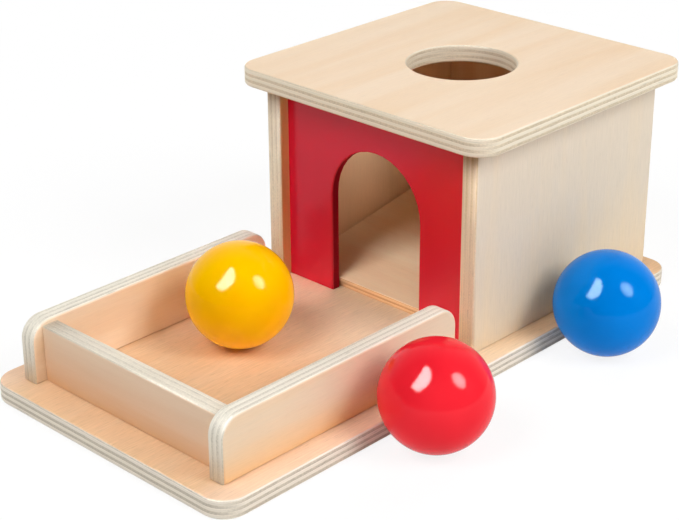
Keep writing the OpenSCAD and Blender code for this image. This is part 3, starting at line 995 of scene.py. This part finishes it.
# Ripples of dried paint are finer and flatter than this: they are drawn coarse enough to show.
RIPPLE_MM = 3.5
RIPPLE_RELIEF_MM, RIPPLE_RELIEF = 0.06, 0.1
GLOSS_ROUGHNESS = (0.07, 0.12)


def gloss_paint(name, deep, bright, shine, glint="#FFFFFF"):
    """Dipped gloss paint: saturated and smooth, its tint and glint changing with its thickness."""
    material, t, out = new_material(name)
    place = add(t, "TexCoord")
    flow = add(t, "TexNoise", {
        "Vector": (place, "Object"), "Scale": 1 / (FLOW_MM * MM), "Detail": 1.0})
    thick = add(t, "MapRange", {"Value": (flow, 0), **span(FLOW_SPAN)})
    colour = add(t, "Mix", {
        0: (thick, 0), 6: linear(bright), 7: linear(deep)}, data_type="RGBA")
    ripple = add(t, "TexNoise", {
        "Vector": (place, "Object"), "Scale": 1 / (RIPPLE_MM * MM), "Detail": 1.0})
    bump = add(t, "Bump", {
        "Height": (ripple, 0), "Strength": RIPPLE_RELIEF, "Distance": RIPPLE_RELIEF_MM * MM})
    gloss = add(t, "MapRange", {"Value": (ripple, 0), **span(shown=GLOSS_ROUGHNESS)})
    surface = add(t, "BsdfPrincipled", {
        "Base Color": (colour, 2), "Roughness": (gloss, 0), "Normal": (bump, 0),
        "IOR": WOOD_IOR, "Specular IOR Level": shine, "Specular Tint": linear(glint)})
    t.links.new(surface.outputs[0], out.inputs["Surface"])
    return material


yellow = gloss_paint("yellow_gloss_paint", "#FFBC00", "#FFC400", 0.12)
red = gloss_paint("red_gloss_paint", "#E91F2E", "#EF2734", 0.15)
blue = gloss_paint("blue_gloss_paint", "#0074CB", "#007CD6", 0.105, "#E4FFF8")
print("paints:", [paint.name for paint in (yellow, red, blue)])

# %% Balls
BALL_ROWS = 48
BALL_COLUMNS = 96
DIP_WAVE = 0.03 * MM


def ball(node, material, slot, phase):
    """A turned ball: r(a, b) = R + wave * sin(a)^2 * sin(3 b + phase + 4 cos a).

    The angle a goes down from the pole and b goes round it, so the waves die out at both poles.
    """
    lo, hi = node_box(node)
    middle = (lo + hi) / 2
    radius = (hi - lo).max() / 2 - DIP_WAVE
    a = np.linspace(0, np.pi, BALL_ROWS + 1)[1:-1, None]
    b = np.linspace(0, 2 * np.pi, BALL_COLUMNS, endpoint=False)[None]
    r = radius + DIP_WAVE * np.sin(a) ** 2 * np.sin(3 * b + phase + 4 * np.cos(a))
    shell = np.stack(
        (r * np.sin(a) * np.cos(b), r * np.sin(a) * np.sin(b), r * np.cos(a)), axis=-1)
    shell = shell.reshape(-1, 3)
    points = middle + np.vstack((shell, (0, 0, radius), (0, 0, -radius)))
    top, bottom = len(shell), len(shell) + 1
    first = np.arange(BALL_COLUMNS)
    last = first + (BALL_ROWS - 2) * BALL_COLUMNS
    caps = np.concatenate((
        np.stack((np.full_like(first, top), first, np.roll(first, -1)), axis=1),
        np.stack((np.full_like(last, bottom), np.roll(last, -1), last), axis=1)))
    faces = grid_faces(BALL_ROWS - 1, BALL_COLUMNS).tolist() + caps.tolist()
    return new_piece(node + "_painted", points, faces, material, node, slot, node)


balls = [
    ball("yellow_ball", yellow, "yellow_paint", 0.4),
    ball("red_ball", red, "red_paint", 1.9),
    ball("blue_ball", blue, "blue_paint", 3.1)]
print("balls:", [piece.name for piece in balls])

# %% [markdown]
# ## Screws and dowels
# Twelve screws hold the rails and walls from below, with their heads sunk into the base, and blind
# dowels hold the rest. Their CAD shapes are right, so they stay and only get a finish. The base
# needs a seat for each head: a lathe profile turned round twelve axes at once, and one Boolean
# takes it away. Edges steeper than 35 degrees are then marked sharp, so that the flat underside
# stays flat to the eye.

# %% Countersinks in the base
SCREW_PLACES = np.array((
    (61.5, 35.5), (-61.5, 35.5), (61.5, 111.0), (-61.5, 111.0), (32.0, 140.5), (-32.0, 140.5),
    (61.0, -118.0), (-61.0, -118.0), (61.0, -26.0), (-61.0, -26.0),
    (31.5, -133.0), (-31.5, -133.0))) * MM
# Radius and height of the seat's profile in mm, from below the base up into it.
SEAT_PROFILE = np.array(((3.6, -0.5), (3.6, 0.3), (1.85, 2.7))) * MM
SEAT_STEPS = 48
SHARP_DEGREES = 35
seat_rows = len(SEAT_PROFILE)
b = np.linspace(0, 2 * np.pi, SEAT_STEPS, endpoint=False)
seat_flat = SEAT_PROFILE[:, :1, None] * np.stack((np.cos(b), np.sin(b)))[None]
seat_deep = np.broadcast_to(SEAT_PROFILE[:, 1:, None], (seat_rows, 1, SEAT_STEPS))
seat = np.concatenate((seat_flat, seat_deep), axis=1).transpose(0, 2, 1).reshape(-1, 3)
seat_points = (seat + np.pad(SCREW_PLACES, ((0, 0), (0, 1)))[:, None]).reshape(-1, 3)
shift = (np.arange(len(SCREW_PLACES)) * len(seat))[:, None, None]
seat_sides = (grid_faces(seat_rows, SEAT_STEPS)[:, ::-1] + shift).reshape(-1, 4)
rim = np.arange(SEAT_STEPS)
seat_ends = np.stack((rim[::-1], rim + (seat_rows - 1) * SEAT_STEPS))
seat_caps = (seat_ends + shift).reshape(-1, SEAT_STEPS)
cutter_mesh = bpy.data.meshes.new("screw_seats")
cutter_mesh.from_pydata(seat_points.tolist(), [], seat_sides.tolist() + seat_caps.tolist())
cutter = bpy.data.objects.new("screw_seats", cutter_mesh)
bpy.context.collection.objects.link(cutter)

cut = base.modifiers.new("screw_seats", "BOOLEAN")
cut.operation = "DIFFERENCE"
cut.solver = "EXACT"
cut.object = cutter
cut_base = base.evaluated_get(bpy.context.evaluated_depsgraph_get())
seated = bpy.data.meshes.new_from_object(cut_base)
base.modifiers.remove(cut)
bpy.data.objects.remove(cutter)
base.data = seated
base.data.set_sharp_from_angle(angle=math.radians(SHARP_DEGREES))
lay_grain(base, np.array((0.0, 0.0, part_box("base_board")[1][2])), Y, Z, 1)
print("base with", len(SCREW_PLACES), "screw seats,", len(base.data.polygons), "faces")

# %% Zinc plated steel and beech
ZINC_CLOUD_MM = 2.2
# The grit of a zinc bath is a few thousandths of a millimetre: it is drawn coarse enough to show.
GRIT_MM = 0.25
GRIT_RELIEF_MM, GRIT_RELIEF = 0.02, 0.2
ZINC_ROUGHNESS = (0.24, 0.44)
BEECH_FIGURE_MM = 6.0
RAY_MM = 0.8
RAY_SPAN, RAY_SHADES = (0.58, 0.7), (1.0, 0.78)
BEECH_ROUGHNESS = (0.6, 0.75)


def zinc_plated_steel(name):
    """Bright zinc on pressed steel: grey with faint blue and straw clouds and a fine matt grit."""
    material, t, out = new_material(name)
    place = add(t, "TexCoord")
    cloud = add(t, "TexNoise", {
        "Vector": (place, "Object"), "Scale": 1 / (ZINC_CLOUD_MM * MM), "Detail": 2.0})
    colour = add(t, "Mix", {
        0: (cloud, 0), 6: linear("#C4C9CF"), 7: linear("#CDC9BD")}, data_type="RGBA")
    grit = add(t, "TexNoise", {
        "Vector": (place, "Object"), "Scale": 1 / (GRIT_MM * MM), "Detail": 2.0})
    gloss = add(t, "MapRange", {"Value": (grit, 0), **span(shown=ZINC_ROUGHNESS)})
    bump = add(t, "Bump", {
        "Height": (grit, 0), "Strength": GRIT_RELIEF, "Distance": GRIT_RELIEF_MM * MM})
    surface = add(t, "BsdfPrincipled", {
        "Base Color": (colour, 2), "Metallic": 1.0, "Roughness": (gloss, 0), "Normal": (bump, 0)})
    t.links.new(surface.outputs[0], out.inputs["Surface"])
    return material


def beech(name):
    """Raw beech dowel rod: pinkish tan with short brown ray flecks, and dull without lacquer."""
    material, t, out = new_material(name)
    place = add(t, "TexCoord")
    figure = add(t, "TexNoise", {
        "Vector": (place, "Object"), "Scale": 1 / (BEECH_FIGURE_MM * MM), "Detail": 2.0})
    colour = add(t, "Mix", {
        0: (figure, 0), 6: linear("#DDBA92"), 7: linear("#CFA47A")}, data_type="RGBA")
    ray = add(t, "TexNoise", {
        "Vector": (place, "Object"), "Scale": 1 / (RAY_MM * MM), "Detail": 1.0})
    ray_shade = add(t, "MapRange", {"Value": (ray, 0), **span(RAY_SPAN, RAY_SHADES)})
    flecked = add(t, "VectorMath", {0: (colour, 2), "Scale": (ray_shade, 0)}, operation="SCALE")
    gloss = add(t, "MapRange", {"Value": (ray, 0), **span(shown=BEECH_ROUGHNESS)})
    surface = add(t, "BsdfPrincipled", {
        "Base Color": (flecked, 0), "Roughness": (gloss, 0), "IOR": WOOD_IOR})
    t.links.new(surface.outputs[0], out.inputs["Surface"])
    return material


zinc = zinc_plated_steel("zinc_plated_steel")
dowel_beech = beech("raw_beech")
finishes = {
    "wall_screws": zinc, "rail_screws": zinc,
    "lid_dowels": dowel_beech, "wall_dowels": dowel_beech, "rail_dowels": dowel_beech}
for node, finish in finishes.items():
    for place in frame["nodes"][node].material_slots:
        place.material = finish
print("fasteners:", {node: len(frame["nodes"][node].material_slots) for node in finishes})
